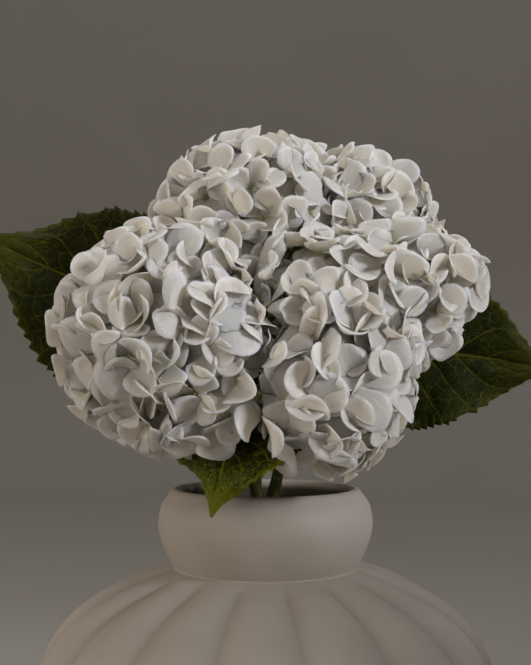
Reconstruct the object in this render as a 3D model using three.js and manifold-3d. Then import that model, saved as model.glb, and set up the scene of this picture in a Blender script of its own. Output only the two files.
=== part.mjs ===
// Hydrangeas in a vase: four white mophead hydrangeas on cut stems with their leaves,
// standing in water in a wide stoneware vase. The vase has a fluted belly like a squat
// pumpkin, and a plain barrel-shaped collar above it.
// Millimetres, +Z up, seen from -Y. The origin is the centre of the vase's flat foot.
import * as THREE from "three";
import { mergeVertices } from "three/addons/utils/BufferGeometryUtils.js";
import Module from "manifold-3d";

const wasm = await Module();
wasm.setup();

const FULL_TURN = 2 * Math.PI;
const GOLDEN_ANGLE = 180 * (3 - Math.sqrt(5)); // spreads points evenly round a ball
const AXIS = new THREE.Vector3(0, 0, 1);
const CLEARANCE = 0.3; // between pieces that touch on the real thing
const SPACE = 0.4; // added round a stem or a leaf to make the hole that it passes through

// Vase
const BELLY_RADIUS = 146.8; // over the crowns of the flutes
const BELLY_HEIGHT = 72; // of its widest ring
const BELLY_RISE = 85; // of the superellipse above that ring, which the collar cuts off
const BELLY_DROP = 76; // and of the one below it, which the foot cuts off
const BELLY_EXPONENT = 2.2; // of both
const FOOT_RADIUS = 62;
const FOOT_EDGE = 2; // how far the foot's edge is drawn in from the belly
const SHOULDER_STEP = 1.2; // from the belly's upper edge in to the foot of the collar
const FLUTES = 16;
const SIDES_PER_FLUTE = 4;
const FLUTE_DEPTH = 4.4;
const FULL_FLUTE_RADIUS = 95; // outside this the grooves have their full depth
const GROOVE_SIDEWAYS = 0.8; // how far a groove is pressed inwards, for each 1 at most down
const FIRST_GROOVE = THREE.MathUtils.degToRad(9.8); // from the front towards +X
const WALL = 7.5;
const FLOOR = 8;
const FLOOR_EDGE = 6; // how far the floor inside is drawn in from the wall
const HOLLOW_FOOT = 80; // radius at the floor, and
const HOLLOW_NECK = 79.2; // under the collar, both to the wall's outside
const HOLLOW_SHARE = 0.9; // of the belly's height either side of its widest ring
const HOLLOW_SIDES = 24;
const LIP = { radius: 58.5, height: 201.5 };
const COLLAR = [
  [59.2, 151.5],
  [63.2, 158.5],
  [67.6, 169],
  [69.5, 179.5],
  [67.6, 191],
  [61.4, 200.2],
];
const MOUTH_RADIUS = 55.5;
const MOUTH_DEPTH = 4; // of the straight stretch under the lip
const WATER_LEVEL = 96;

// Stems, each from the vase's floor to the middle of its head
const STEM_RADIUS = 3.8;
const STEM_CIRCLE = 8.5; // that the stems stand on in the mouth
const STEM_SPREAD = 50; // the same on the vase's floor, turned on by STEM_TWIST
const STEM_TWIST = 105;
const STEM_STRAIGHT = 0.55; // of its length in the vase, below which a stem is straight
const STEM_END = 0.6; // where it ends below the ball's middle, as a share of the core
const STEM_SIDES = 6;
const STEM_STEPS = 9;

// Heads: the balls each one is made up of (middle and reach of the florets), the first of
// them on the stem's end, and the way its stem leans out of the mouth
const HEADS = {
  left: {
    balls: [
      [-62, -42, 300, 69],
      [-30, -66, 275, 52],
    ],
    lean: 225,
  },
  right: {
    balls: [
      [40, -50, 307, 55],
      [96, -35, 327, 42],
      [34, -74, 262, 50],
    ],
    lean: 315,
  },
  top: { balls: [[-9, 5, 373, 65]], lean: 135 },
  back: { balls: [[64, 45, 378, 62]], lean: 45 },
};
const CORE_SHARE = 0.74; // the packed stalks inside a head, as a share of its reach
const CORE_BUMPS = 0.16; // how much its surface rises and falls, as a share of its radius
const ROOT_SHARE = 0.5; // and where the florets' stalks meet it
const FLORET = {
  area: 1600, // of a ball's surface, that one floret takes up
  radius: 24,
  sizes: [0.92, 1.08], // shares of the radius
  cups: [0.12, 0.32], // rise of the sepals' tips, as shares of the radius
  rims: [0.865, 0.935], // where the throat sits, as shares of the head's reach
  tilt: 0.45, // how far a floret can look away from straight out
  lowest: -0.66, // cosine from the head's crown, below which the stalks are bare
};
const SEPAL_OUTLINE = [
  [-45, 0.34, 0.08],
  [-27, 0.92, 0.7],
  [0, 1.03, 1],
  [27, 0.92, 0.7],
]; // degrees from the sepal's middle, share of the floret's radius, share of its cup
const SEPAL_THICKNESS = 0.9;

// Where two heads meet
const NEIGHBOUR = 1.3; // a plane further out than this share of the reach is left out
const CONTACT_INSET = 3; // of the throats from the plane
const TURN_AWAY = 0.6; // how much the florets there look away from it
const LEAST_SQUEEZED = 0.72; // share of its free place, below which a floret is left out
const BURIED = 0.8; // and share of another ball's reach, inside which it is too

// Leaves: the midrib's points from base to tip, the width either side of it, the way the
// upper face looks, and the stem and height that the leafstalk grows from
const LEAVES = {
  left: {
    rib: [[-40, 27, 312], [-116, 42, 336], [-202, 26, 374]],
    halves: [63, 72],
    face: [0.25, -1, 0.1],
    stem: "top",
    node: 288,
  },
  right: {
    rib: [[50, 34, 288], [120, 32, 291], [196, 8, 277]],
    halves: [56, 60],
    face: [-0.1, -1, 0.25],
    stem: "back",
    node: 262,
  },
  front: {
    rib: [[-9, -32, 238], [-20, -70, 234], [-31, -76, 192]],
    halves: [53, 52],
    face: [-0.25, -0.5, 1],
    stem: "left",
    node: 217,
  },
  back_left: {
    rib: [[-34, 40, 262], [-74, 88, 276], [-112, 132, 252]],
    halves: [46, 46],
    face: [0.3, 0.4, 1],
    stem: "top",
    node: 240,
  },
  back_right: {
    rib: [[44, 58, 262], [70, 104, 268], [92, 150, 238]],
    halves: [44, 44],
    face: [-0.2, 0.5, 1],
    stem: "back",
    node: 236,
  },
};
const LEAF_OUTLINE = [
  [0, 0],
  [0.08, 0.5],
  [0.2, 0.85],
  [0.4, 1],
  [0.6, 0.88],
  [0.72, 0.62],
  [0.82, 0.32],
  [0.9, 0.14],
  [1, 0],
]; // half the width along the midrib, both as shares
const LEAF_THICKNESS = 1.0;
const LEAF_FOLD = 0.22; // how far the two halves rise from the midrib, per unit of width
const LEAF_TEETH = 8; // a side
const TOOTH_DEPTH = 0.09;
const LEAFSTALK_RADIUS = 2.0;
const LEAFSTALK_SIDES = 5;
const LEAFSTALK_STEPS = 5;
const LEAFSTALK_SAG = 2;
const LEAFSTALK_END = 0.12; // of the way from the blade's base to the midrib's middle point

const MATERIALS = {
  stoneware: new THREE.MeshStandardMaterial({ color: 0xd9d0c0, roughness: 0.85 }),
  water: new THREE.MeshStandardMaterial({
    color: 0xcfdcd8,
    roughness: 0.1,
    transparent: true,
    opacity: 0.4,
  }),
  stem: new THREE.MeshStandardMaterial({ color: 0x66752f, roughness: 0.7 }),
  leaf: new THREE.MeshStandardMaterial({ color: 0x2f3f12, roughness: 0.6 }),
  sepal: new THREE.MeshStandardMaterial({ color: 0xf0ebe0, roughness: 0.8 }),
};

// A repeatable number from 0 to 1 for each pair of whole numbers
function chance(index, salt) {
  const wave = Math.sin(index * 12.9898 + salt * 78.233) * 43758.5453;
  return wave - Math.floor(wave);
}

function vector(list) {
  return new THREE.Vector3(...list);
}

// Turns a closed geometry into a solid that can be joined and cut
function solidOf(geometry) {
  const bare = new THREE.BufferGeometry();
  bare.setAttribute("position", geometry.getAttribute("position"));
  bare.setIndex(geometry.index);
  const merged = mergeVertices(bare, 1e-4);
  const triangles = [];
  for (let i = 0; i < merged.index.count; i += 3) {
    const [a, b, c] = [0, 1, 2].map((k) => merged.index.getX(i + k));
    if (a !== b && b !== c && c !== a) triangles.push(a, b, c);
  }
  const mesh = new wasm.Mesh({
    numProp: 3,
    vertProperties: new Float32Array(merged.getAttribute("position").array),
    triVerts: new Uint32Array(triangles),
  });
  return new wasm.Manifold(mesh);
}

function meshOf(name, solid, material) {
  const { vertProperties, triVerts } = solid.getMesh();
  const geometry = new THREE.BufferGeometry();
  geometry.setAttribute("position", new THREE.BufferAttribute(vertProperties, 3));
  geometry.setIndex(new THREE.BufferAttribute(triVerts, 1));
  geometry.computeVertexNormals();
  const mesh = new THREE.Mesh(geometry, material);
  mesh.name = name;
  return mesh;
}

// Joining and cutting can leave loose scraps, so only the largest body is kept
function largestBody(solid) {
  const bodies = solid.decompose();
  return bodies.sort((a, b) => b.volume() - a.volume())[0];
}

function geometryFrom(points, triangles) {
  const geometry = new THREE.BufferGeometry();
  geometry.setAttribute(
    "position",
    new THREE.Float32BufferAttribute(points.flatMap((p) => p.toArray()), 3),
  );
  geometry.setIndex(triangles);
  return geometry;
}

// Vase

// A quarter of the belly's section, a superellipse, from its widest ring to the radius given
function bellyQuarter(height, innerRadius, steps) {
  const last = Math.acos((innerRadius / BELLY_RADIUS) ** (BELLY_EXPONENT / 2));
  return Array.from({ length: steps + 1 }, (_, i) => {
    const turn = (last * i) / steps;
    const out = Math.cos(turn) ** (2 / BELLY_EXPONENT);
    const up = Math.sin(turn) ** (2 / BELLY_EXPONENT);
    return new THREE.Vector2(BELLY_RADIUS * out, BELLY_HEIGHT + height * up);
  });
}

function turned(profile, sides) {
  return new THREE.LatheGeometry(profile, sides, FIRST_GROOVE).rotateX(Math.PI / 2);
}

function outerProfile() {
  const shoulder = COLLAR[0][0] + SHOULDER_STEP;
  const lower = bellyQuarter(-BELLY_DROP, FOOT_RADIUS + FOOT_EDGE, 3).reverse();
  const upper = bellyQuarter(BELLY_RISE, shoulder, 6).slice(1);
  const collar = new THREE.SplineCurve(COLLAR.map(([r, z]) => new THREE.Vector2(r, z)));
  return [
    new THREE.Vector2(0, 0),
    new THREE.Vector2(FOOT_RADIUS, 0),
    ...lower,
    ...upper,
    ...collar.getPoints(6),
    new THREE.Vector2(LIP.radius, LIP.height),
    new THREE.Vector2(0, LIP.height),
  ];
}

// Presses the grooves between the flutes into the belly, fading out at collar and foot
function flute(geometry) {
  const position = geometry.getAttribute("position");
  const point = new THREE.Vector3();
  for (let i = 0; i < position.count; i++) {
    point.fromBufferAttribute(position, i);
    const radius = Math.hypot(point.x, point.y);
    if (point.z > COLLAR[0][1] - 1 || radius < FOOT_RADIUS + 1) continue;
    const fade = THREE.MathUtils.smoothstep(radius, COLLAR[0][0], FULL_FLUTE_RADIUS);
    const turn = (FLUTES * (Math.atan2(point.x, -point.y) - FIRST_GROOVE)) / 2;
    const depth = FLUTE_DEPTH * fade * (1 - Math.abs(Math.sin(turn)));
    const inward = new THREE.Vector3(point.x, point.y, 0);
    inward.multiplyScalar(-GROOVE_SIDEWAYS / radius);
    inward.z = point.z > BELLY_HEIGHT ? -(1 - radius / BELLY_RADIUS) : 0;
    point.addScaledVector(inward.normalize(), depth);
    position.setXYZ(i, point.x, point.y, point.z);
  }
  return geometry;
}

// The vase's hollow up to a height; the water fills the same hollow, a little inside it
function hollowProfile(inset, top) {
  const collar = COLLAR.slice(0, 4).map(([r, z]) => new THREE.Vector2(r - WALL, z));
  const belly = [
    ...bellyQuarter(-BELLY_DROP * HOLLOW_SHARE, HOLLOW_FOOT, 3).reverse(),
    ...bellyQuarter(BELLY_RISE * HOLLOW_SHARE, HOLLOW_NECK, 3).slice(1),
  ].map((p) => new THREE.Vector2(p.x - WALL, p.y));
  const mouth = new THREE.Vector2(MOUTH_RADIUS, LIP.height - MOUTH_DEPTH);
  const wall = [...belly, ...collar, mouth];
  const under = wall.filter((p) => p.y < top);
  const over = wall.find((p) => p.y >= top) ?? new THREE.Vector2(LIP.radius, top);
  const last = under[under.length - 1];
  const share = (top - last.y) / (over.y - last.y);
  const rim = new THREE.Vector2(THREE.MathUtils.lerp(last.x, over.x, share), top);
  const outline = [new THREE.Vector2(under[0].x - FLOOR_EDGE, FLOOR), ...under].map(
    (p) => new THREE.Vector2(p.x - inset, p.y + (p.y < BELLY_HEIGHT ? inset : 0)),
  );
  outline.push(new THREE.Vector2(rim.x - inset, top));
  return [new THREE.Vector2(0, FLOOR + inset), ...outline, new THREE.Vector2(0, top)];
}

function makeVase() {
  const outside = solidOf(flute(turned(outerProfile(), FLUTES * SIDES_PER_FLUTE)));
  const inside = solidOf(turned(hollowProfile(0, LIP.height + 1), HOLLOW_SIDES));
  return outside.subtract(inside);
}

// Stems

function around(degrees, radius, height) {
  const angle = THREE.MathUtils.degToRad(degrees);
  return new THREE.Vector3(radius * Math.cos(angle), radius * Math.sin(angle), height);
}

// The stems cross under the mouth the way they do in a hand-tied bunch, without touching.
// The curve starts under the vase's floor, and ends a given way past the stem's top
function stemCurve({ balls, lean }, beyond) {
  const [x, y, z, reach] = balls[0];
  const middle = new THREE.Vector3(x, y, z);
  const mouth = around(lean, STEM_CIRCLE, LIP.height);
  const foot = around(lean + STEM_TWIST, STEM_SPREAD, 0);
  const crown = middle.clone().sub(mouth).normalize();
  const top = middle.addScaledVector(crown, beyond - reach * CORE_SHARE * STEM_END);
  const straight = foot.clone().lerp(mouth, STEM_STRAIGHT);
  return new THREE.CatmullRomCurve3([foot, straight, mouth, top]);
}

function tube(curve, radius, sides, steps) {
  const corners = Array.from({ length: sides }, (_, i) => {
    const angle = (FULL_TURN * i) / sides;
    return new THREE.Vector2(radius * Math.cos(angle), radius * Math.sin(angle));
  });
  const section = new THREE.Shape(corners);
  return solidOf(new THREE.ExtrudeGeometry(section, { steps, extrudePath: curve }));
}

function stemTube(curve, radius) {
  return tube(curve, radius, STEM_SIDES, STEM_STEPS);
}

// A stem's foot is cut level, so that it stands on the vase's floor
function makeStem(curve, radius) {
  return stemTube(curve, radius).trimByPlane([0, 0, 1], FLOOR + CLEARANCE);
}

// Leaves

function leafWidth(share) {
  const next = LEAF_OUTLINE.findIndex(([along]) => along >= share);
  if (next <= 0) return 0;
  const [[start, startWidth], [end, endWidth]] = LEAF_OUTLINE.slice(next - 1, next + 1);
  return THREE.MathUtils.mapLinear(share, start, end, startWidth, endWidth);
}

// The blade: rows of three points, on the midrib and on the toothed edges either side
function leafBlade({ rib, halves, face }, thickness, margin) {
  const curve = new THREE.CatmullRomCurve3(rib.map(vector));
  const up = vector(face).normalize();
  const rows = LEAF_TEETH * 2;
  const points = [];
  for (let row = 0; row <= rows; row++) {
    const share = row / rows;
    const along = curve.getTangentAt(share);
    const across = new THREE.Vector3().crossVectors(up, along).normalize();
    const normal = new THREE.Vector3().crossVectors(along, across).normalize();
    const notch = row % 2 === 0 ? 1 - TOOTH_DEPTH : 1;
    const width = leafWidth(share) * notch;
    const end = row === 0 ? -margin : row === rows ? margin : 0;
    for (const reach of [-halves[0] * width - margin, 0, halves[1] * width + margin]) {
      const point = curve.getPointAt(share).addScaledVector(across, reach);
      point.addScaledVector(normal, Math.abs(reach) * LEAF_FOLD);
      point.addScaledVector(along, end);
      points.push(point.clone().addScaledVector(normal, thickness / 2));
      points.push(point.clone().addScaledVector(normal, -thickness / 2));
    }
  }
  const triangles = [];
  const quad = (a, b, c, d) => triangles.push(a, b, c, a, c, d);
  for (let row = 0; row < rows; row++) {
    const near = 6 * row;
    const far = near + 6;
    for (const column of [0, 2]) {
      const [a, b] = [near + column, far + column];
      quad(a, b, b + 2, a + 2);
      quad(a + 1, a + 3, b + 3, b + 1);
    }
    quad(near, near + 1, far + 1, far);
    quad(near + 4, far + 4, far + 5, near + 5);
  }
  const last = 6 * rows;
  for (const column of [0, 2]) {
    quad(column, column + 2, column + 3, column + 1);
    quad(last + column, last + column + 1, last + column + 3, last + column + 2);
  }
  return solidOf(geometryFrom(points, triangles));
}

function pointAtHeight(curve, height) {
  const offset = (point) => Math.abs(point.z - height);
  return curve.getSpacedPoints(100).reduce((a, b) => (offset(b) < offset(a) ? b : a));
}

// The leafstalk: from inside the stem, out in an arc, and a little way along the midrib
function leafStalk({ rib, stem, node }, radius, curves) {
  const [base, middle] = rib.map(vector);
  const start = pointAtHeight(curves[stem], node);
  const bend = start.clone().lerp(base, 0.5).addScaledVector(AXIS, -LEAFSTALK_SAG);
  const end = base.clone().lerp(middle, LEAFSTALK_END);
  const path = new THREE.CatmullRomCurve3([start, bend, base, end]);
  return tube(path, radius, LEAFSTALK_SIDES, LEAFSTALK_STEPS);
}

function makeLeaf(leaf, curves, grow) {
  const blade = leafBlade(leaf, LEAF_THICKNESS + 2 * grow, grow);
  return blade.add(leafStalk(leaf, LEAFSTALK_RADIUS + grow, curves));
}

// Heads

// One floret: four sepals round a throat, as one cupped blade, and the stalk under it
function floretGeometry(radius, cup, stalk) {
  const outline = [];
  for (let sepal = 0; sepal < 4; sepal++) {
    for (const [turn, share, lift] of SEPAL_OUTLINE) {
      outline.push(around(90 * sepal + turn, radius * share, radius * cup * lift));
    }
  }
  const count = outline.length;
  const down = new THREE.Vector3(0, 0, -SEPAL_THICKNESS);
  const points = [
    ...outline,
    ...outline.map((p) => p.clone().add(down)),
    new THREE.Vector3(0, 0, 0),
    new THREE.Vector3(0, 0, -stalk),
  ];
  const [throat, root] = [2 * count, 2 * count + 1];
  const triangles = [];
  for (let i = 0; i < count; i++) {
    const j = (i + 1) % count;
    triangles.push(throat, i, j);
    triangles.push(i, i + count, j, j, i + count, j + count);
  }
  for (let first = 0; first < count; first += 4) {
    const notch = first + count;
    const next = ((first + 4) % count) + count;
    triangles.push(notch, notch + 2, notch + 1, notch, notch + 3, notch + 2);
    triangles.push(notch, next, notch + 3, root, next, notch);
  }
  return geometryFrom(points, triangles);
}

// Neighbouring heads press against each other, and meet on the plane where two balls cross
function contactPlanes(name, [x, y, z, reach]) {
  const planes = [];
  for (const [other, { balls }] of Object.entries(HEADS)) {
    if (other === name) continue;
    for (const [otherX, otherY, otherZ, otherReach] of balls) {
      const normal = new THREE.Vector3(otherX - x, otherY - y, otherZ - z);
      const distance = normal.length();
      const limit = (distance ** 2 + reach ** 2 - otherReach ** 2) / (2 * distance);
      if (limit < NEIGHBOUR * reach) planes.push({ normal: normal.normalize(), limit });
    }
  }
  return planes;
}

// Spreads florets evenly over a ball, turned and tilted by chance, but not over its
// underside, inside the head's other balls, or deep in the contact with another head
function floretPlaces(name, ball, crown, salt) {
  const centre = vector(ball.slice(0, 3));
  const reach = ball[3];
  const others = HEADS[name].balls.filter((other) => other !== ball);
  const planes = contactPlanes(name, ball);
  const rim = (FLORET.rims[0] + FLORET.rims[1]) / 2;
  const total = Math.round((4 * Math.PI * (rim * reach) ** 2) / FLORET.area);
  const toCrown = new THREE.Quaternion().setFromUnitVectors(AXIS, crown);
  const places = [];
  for (let i = 0; i < total; i++) {
    const height = 1 - (2 * (i + 0.5)) / total;
    const out = around(GOLDEN_ANGLE * i + 60 * salt, Math.sqrt(1 - height ** 2), height);
    out.applyQuaternion(toCrown);
    const full = reach * THREE.MathUtils.lerp(...FLORET.rims, chance(i, salt));
    let free = full;
    const turnedAway = new THREE.Vector3();
    for (const { normal, limit } of planes) {
      const towards = normal.dot(out);
      const allowed = towards > 0 ? (limit - CONTACT_INSET) / towards : full;
      if (allowed < full) turnedAway.addScaledVector(normal, -TURN_AWAY * towards);
      free = Math.min(free, allowed);
    }
    const point = centre.clone().addScaledVector(out, free);
    const buried = others.some(
      (other) => point.distanceTo(vector(other.slice(0, 3))) < BURIED * other[3],
    );
    if (height < FLORET.lowest || free < LEAST_SQUEEZED * full || buried) continue;
    const tilt = new THREE.Vector3(
      chance(i, salt + 10) - 0.5,
      chance(i, salt + 20) - 0.5,
      chance(i, salt + 30) - 0.5,
    );
    places.push({
      point,
      facing: out.clone().add(turnedAway).addScaledVector(tilt, FLORET.tilt).normalize(),
      stalk: free - ROOT_SHARE * reach,
      spin: FULL_TURN * chance(i, salt + 40),
      size: THREE.MathUtils.lerp(...FLORET.sizes, chance(i, salt + 50)),
      cup: THREE.MathUtils.lerp(...FLORET.cups, chance(i, salt + 60)),
    });
  }
  return places;
}

function coreGeometry(centre, radius, salt) {
  const geometry = mergeVertices(
    new THREE.IcosahedronGeometry(radius, 1).deleteAttribute("normal").deleteAttribute("uv"),
  );
  const position = geometry.getAttribute("position");
  const point = new THREE.Vector3();
  for (let i = 0; i < position.count; i++) {
    point.fromBufferAttribute(position, i);
    point.multiplyScalar(1 + CORE_BUMPS * (chance(i, salt) - 0.5));
    position.setXYZ(i, point.x, point.y, point.z);
  }
  return geometry.translate(...centre);
}

// One ball of a head: the packed stalks in the middle, florets all round, cut where
// another head presses on it
function makeBall(name, ball, crown, salt) {
  const core = coreGeometry(ball.slice(0, 3), ball[3] * CORE_SHARE, salt);
  const florets = floretPlaces(name, ball, crown, salt).map((place) => {
    const turn = new THREE.Quaternion()
      .setFromUnitVectors(AXIS, place.facing)
      .multiply(new THREE.Quaternion().setFromAxisAngle(AXIS, place.spin));
    const matrix = new THREE.Matrix4().compose(place.point, turn, new THREE.Vector3(1, 1, 1));
    const floret = floretGeometry(FLORET.radius * place.size, place.cup, place.stalk);
    return solidOf(floret.applyMatrix4(matrix));
  });
  let solid = wasm.Manifold.union([solidOf(core), ...florets]);
  for (const { normal, limit } of contactPlanes(name, ball)) {
    const edge = normal.dot(vector(ball.slice(0, 3))) + limit - CLEARANCE / 2;
    solid = solid.trimByPlane(normal.clone().negate().toArray(), -edge);
  }
  return solid;
}

function makeHead(name, curves, cutters) {
  const crown = curves[name].getTangentAt(1);
  const first = 10 * Object.keys(HEADS).indexOf(name);
  const balls = HEADS[name].balls.map((ball, i) => makeBall(name, ball, crown, first + i));
  return largestBody(wasm.Manifold.union(balls).subtract(cutters));
}

// Assembly
const flowers = new THREE.Group();
flowers.add(meshOf("vase", makeVase(), MATERIALS.stoneware));

const curves = {};
for (const [name, head] of Object.entries(HEADS)) curves[name] = stemCurve(head, 0);
const sleeves = wasm.Manifold.union(
  Object.values(HEADS).map((head) => stemTube(stemCurve(head, 1), STEM_RADIUS + SPACE)),
);
for (const [name, curve] of Object.entries(curves)) {
  flowers.add(meshOf(`stem_${name}`, makeStem(curve, STEM_RADIUS), MATERIALS.stem));
}

const water = solidOf(turned(hollowProfile(CLEARANCE, WATER_LEVEL), HOLLOW_SIDES));
flowers.add(meshOf("water", water.subtract(sleeves), MATERIALS.water));

const leafSpaces = [];
for (const [name, leaf] of Object.entries(LEAVES)) {
  const blade = largestBody(makeLeaf(leaf, curves, 0).subtract(sleeves));
  flowers.add(meshOf(`leaf_${name}`, blade, MATERIALS.leaf));
  leafSpaces.push(makeLeaf(leaf, curves, SPACE));
}

const cutters = wasm.Manifold.union([sleeves, ...leafSpaces]);
for (const name of Object.keys(HEADS)) {
  flowers.add(meshOf(`head_${name}`, makeHead(name, curves, cutters), MATERIALS.sepal));
}

export default flowers;
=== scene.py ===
# %% [markdown]
# Hydrangeas in a vase.
#
# Four white mophead hydrangeas stand with their leaves in a wide stoneware vase. This file
# dresses the plain solids of the arrangement: it models every flower, leaf and stem again at
# its true fineness and gives each one a finish. The solids fix the sizes and places, in metres,
# with Z up and the vase's foot at the origin. Sizes below are written in millimetres, because
# that is how a maker would measure them, and turned into metres as they are used. Only the
# finishes, the floor, the lights and the camera are written in metres.

# %% The frame
import math
import random

import bmesh
import bpy
from mathutils import Matrix, Quaternion, Vector, noise


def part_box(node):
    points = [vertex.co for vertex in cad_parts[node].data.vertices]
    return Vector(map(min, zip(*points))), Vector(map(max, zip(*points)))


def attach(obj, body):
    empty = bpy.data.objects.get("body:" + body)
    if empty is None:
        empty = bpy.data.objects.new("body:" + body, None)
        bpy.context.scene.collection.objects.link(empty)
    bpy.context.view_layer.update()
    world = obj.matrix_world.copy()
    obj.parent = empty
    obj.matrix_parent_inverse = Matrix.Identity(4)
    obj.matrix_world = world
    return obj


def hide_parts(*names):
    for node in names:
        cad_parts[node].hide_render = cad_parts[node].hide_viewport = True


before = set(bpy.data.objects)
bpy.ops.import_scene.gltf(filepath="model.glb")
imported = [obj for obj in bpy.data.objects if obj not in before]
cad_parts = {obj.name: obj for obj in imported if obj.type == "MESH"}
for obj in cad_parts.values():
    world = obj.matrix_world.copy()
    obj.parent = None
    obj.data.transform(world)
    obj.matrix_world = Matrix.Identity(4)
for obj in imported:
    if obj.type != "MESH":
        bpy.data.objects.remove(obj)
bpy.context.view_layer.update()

MM = 0.001
UP = Vector((0, 0, 1))
print("solids:", ", ".join(sorted(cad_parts)))

# %% [markdown]
# A piece starts as a bmesh, which is Blender's own editable mesh, and ends as an object at the
# origin with its place in its mesh. One helper does the last steps for all of them: it merges
# points that lie on each other, turns the faces outwards, shades the piece smooth and hides
# the solid that the piece stands for. Doing this in one place means that no piece can be left
# inside out or without a slot for its finish.

# %% Finished pieces
MERGE_DISTANCE = 0.01 * MM


def merge_points(bm):
    """Merges points that lie on each other, then turns the faces outwards."""
    bmesh.ops.remove_doubles(bm, verts=bm.verts, dist=MERGE_DISTANCE)
    bmesh.ops.recalc_face_normals(bm, faces=bm.faces)


def add_object(bm, name):
    mesh = bpy.data.meshes.new(name)
    bm.to_mesh(mesh)
    bm.free()
    mesh.shade_smooth()
    made = bpy.data.objects.new(name, mesh)
    bpy.context.scene.collection.objects.link(made)
    print(f"{name}: {len(mesh.polygons)} faces")
    return made


def finish_piece(bm, name, materials, replaces=(), merge=True):
    if merge:
        merge_points(bm)
    piece = add_object(bm, name)
    for material in materials:
        piece.data.materials.append(material)
    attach(piece, "root")
    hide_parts(*replaces)
    return piece


def add_modifier(piece, kind, **settings):
    modifier = piece.modifiers.new(kind.capitalize(), kind)
    for key, value in settings.items():
        setattr(modifier, key, value)


print("points nearer than", MERGE_DISTANCE / MM, "mm are merged")

# %% [markdown]
# Stems, leafstalks and the branches inside a head are all tubes that follow a bent line. A tube
# could be a curve object with a bevel. Here a circle is pushed along the line edge by edge, and
# each new ring turns only as much as the line does, so that nothing twists and the radius can
# swell where a leaf joins the stem. The line itself is smooth through a few given points.

# %% Smooth lines and tubes
def smooth_line(points, steps):
    """A curve through all the points, with this many steps from each point to the next."""
    padded = [2 * points[0] - points[1], *points, 2 * points[-1] - points[-2]]
    line = []
    for before, start, end, after in zip(padded, padded[1:], padded[2:], padded[3:]):
        for step in range(steps):
            t = step / steps
            pull = 2 * before - 5 * start + 4 * end - after
            push = 3 * (start - end) + after - before
            line.append(start + (t * (end - before) + t * t * pull + t**3 * push) / 2)
    return [*line, points[-1]]


def ring_frames(points, radii):
    """For each point, the matrix that puts a unit circle there, square to the line."""
    ways = [(b - a).normalized() for a, b in zip(points, points[1:])]
    ways.append(ways[-1])
    turn = UP.rotation_difference(ways[0])
    frames = []
    for i, (point, radius) in enumerate(zip(points, radii)):
        if i:
            turn = ways[i - 1].rotation_difference(ways[i]) @ turn
        frames.append(Matrix.LocRotScale(point, turn, Vector((radius, radius, radius))))
    return frames


def add_tube(bm, points, radii, sides):
    frames = ring_frames(points, radii)
    ring = bmesh.ops.create_circle(bm, segments=sides, radius=1, matrix=frames[0])["verts"]
    edges = list(dict.fromkeys(edge for vert in ring for edge in vert.link_edges))
    bmesh.ops.contextual_create(bm, geom=edges)
    for last, new in zip(frames, frames[1:]):
        grown = bmesh.ops.extrude_edge_only(bm, edges=edges)["geom"]
        edges = [part for part in grown if isinstance(part, bmesh.types.BMEdge)]
        verts = [part for part in grown if isinstance(part, bmesh.types.BMVert)]
        bmesh.ops.transform(bm, matrix=new @ last.inverted(), verts=verts)
    bmesh.ops.contextual_create(bm, geom=edges)


print("points on a smooth line through 3, by 4 steps:", len(smooth_line([-UP, 0 * UP, UP], 4)))

# %% [markdown]
# Every finish here is procedural: it is worked out from the place on the piece, and needs no
# picture. Shader maths reads badly as a web of Math nodes, so a small class wraps a socket and
# lets Python's own operators add those nodes. Every other node comes from one method, and
# colours are mixed only by Mix nodes, which keep all three channels.

# %% Shader helpers
class Signal:
    """One socket of a finish. Python's operators on it add Math nodes."""

    def __init__(self, finish, socket):
        self.finish = finish
        self.socket = socket

    def __add__(self, other):
        return self.finish.maths("ADD", self, other)

    def __radd__(self, other):
        return self.finish.maths("ADD", other, self)

    def __sub__(self, other):
        return self.finish.maths("SUBTRACT", self, other)

    def __rsub__(self, other):
        return self.finish.maths("SUBTRACT", other, self)

    def __mul__(self, other):
        return self.finish.maths("MULTIPLY", self, other)

    def __rmul__(self, other):
        return self.finish.maths("MULTIPLY", other, self)

    def __truediv__(self, other):
        return self.finish.maths("DIVIDE", self, other)

    def __rtruediv__(self, other):
        return self.finish.maths("DIVIDE", other, self)

    def __pow__(self, other):
        return self.finish.maths("POWER", self, other)

    def __rpow__(self, other):
        return self.finish.maths("POWER", other, self)

    def __abs__(self):
        return self.finish.maths("ABSOLUTE", self)


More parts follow.
